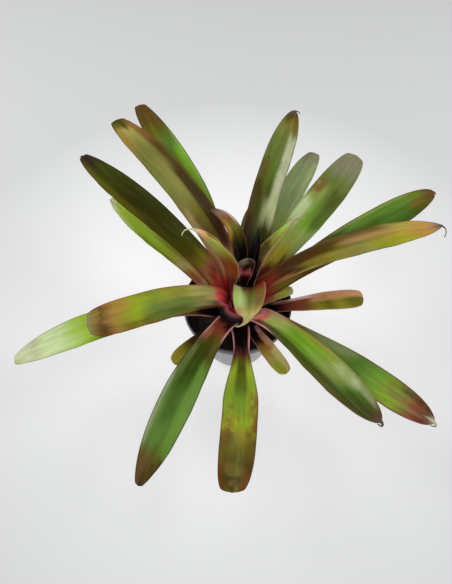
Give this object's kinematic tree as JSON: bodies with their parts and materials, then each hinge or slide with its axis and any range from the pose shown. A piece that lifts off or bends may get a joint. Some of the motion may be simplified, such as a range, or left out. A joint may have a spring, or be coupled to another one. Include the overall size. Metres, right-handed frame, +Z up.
{
  "type": "potted tillandsia somnians",
  "caption": "Rosette air plant with long strap leaves around a cupped heart, growing in a round tapered plastic nursery pot.",
  "frame": {"origin": "centre of the pot's flat underside, on the surface it stands on", "axes": "+Z up along the pot's axis; -Y is the side that faces the viewer of the picture, +X that viewer's right; the leaf spread is widest along X"},
  "size_m": [0.3773, 0.3391, 0.168],
  "materials": {
    "leaf_green": "waxy fresh leaf, green with dark sheath",
    "leaf_young": "waxy young leaf, pale olive with pink margins",
    "pot_plastic": "thin black moulded plastic",
    "bark_mix": "damp dark composted bark",
    "stem_tissue": "matte fibrous stem"
  },
  "bodies": {
    "root": {"pot": "pot_plastic", "potting_mix": "bark_mix", "stem": "stem_tissue", "leaf_01": "leaf_green", "leaf_02": "leaf_green", "leaf_03": "leaf_green", "leaf_04": "leaf_green", "leaf_05": "leaf_green", "leaf_06": "leaf_green", "leaf_07": "leaf_green", "leaf_08": "leaf_green", "leaf_09": "leaf_green", "leaf_10": "leaf_green", "leaf_11": "leaf_green", "leaf_12": "leaf_green", "leaf_13": "leaf_green", "leaf_14": "leaf_green", "leaf_15": "leaf_green", "leaf_16": "leaf_green", "leaf_17": "leaf_green", "leaf_18": "leaf_green", "leaf_19": "leaf_green", "leaf_20": "leaf_green", "leaf_21": "leaf_green", "leaf_22": "leaf_green", "leaf_23": "leaf_young", "leaf_24": "leaf_young", "leaf_25": "leaf_young", "leaf_26": "leaf_young"}
  },
  "joints": []
}
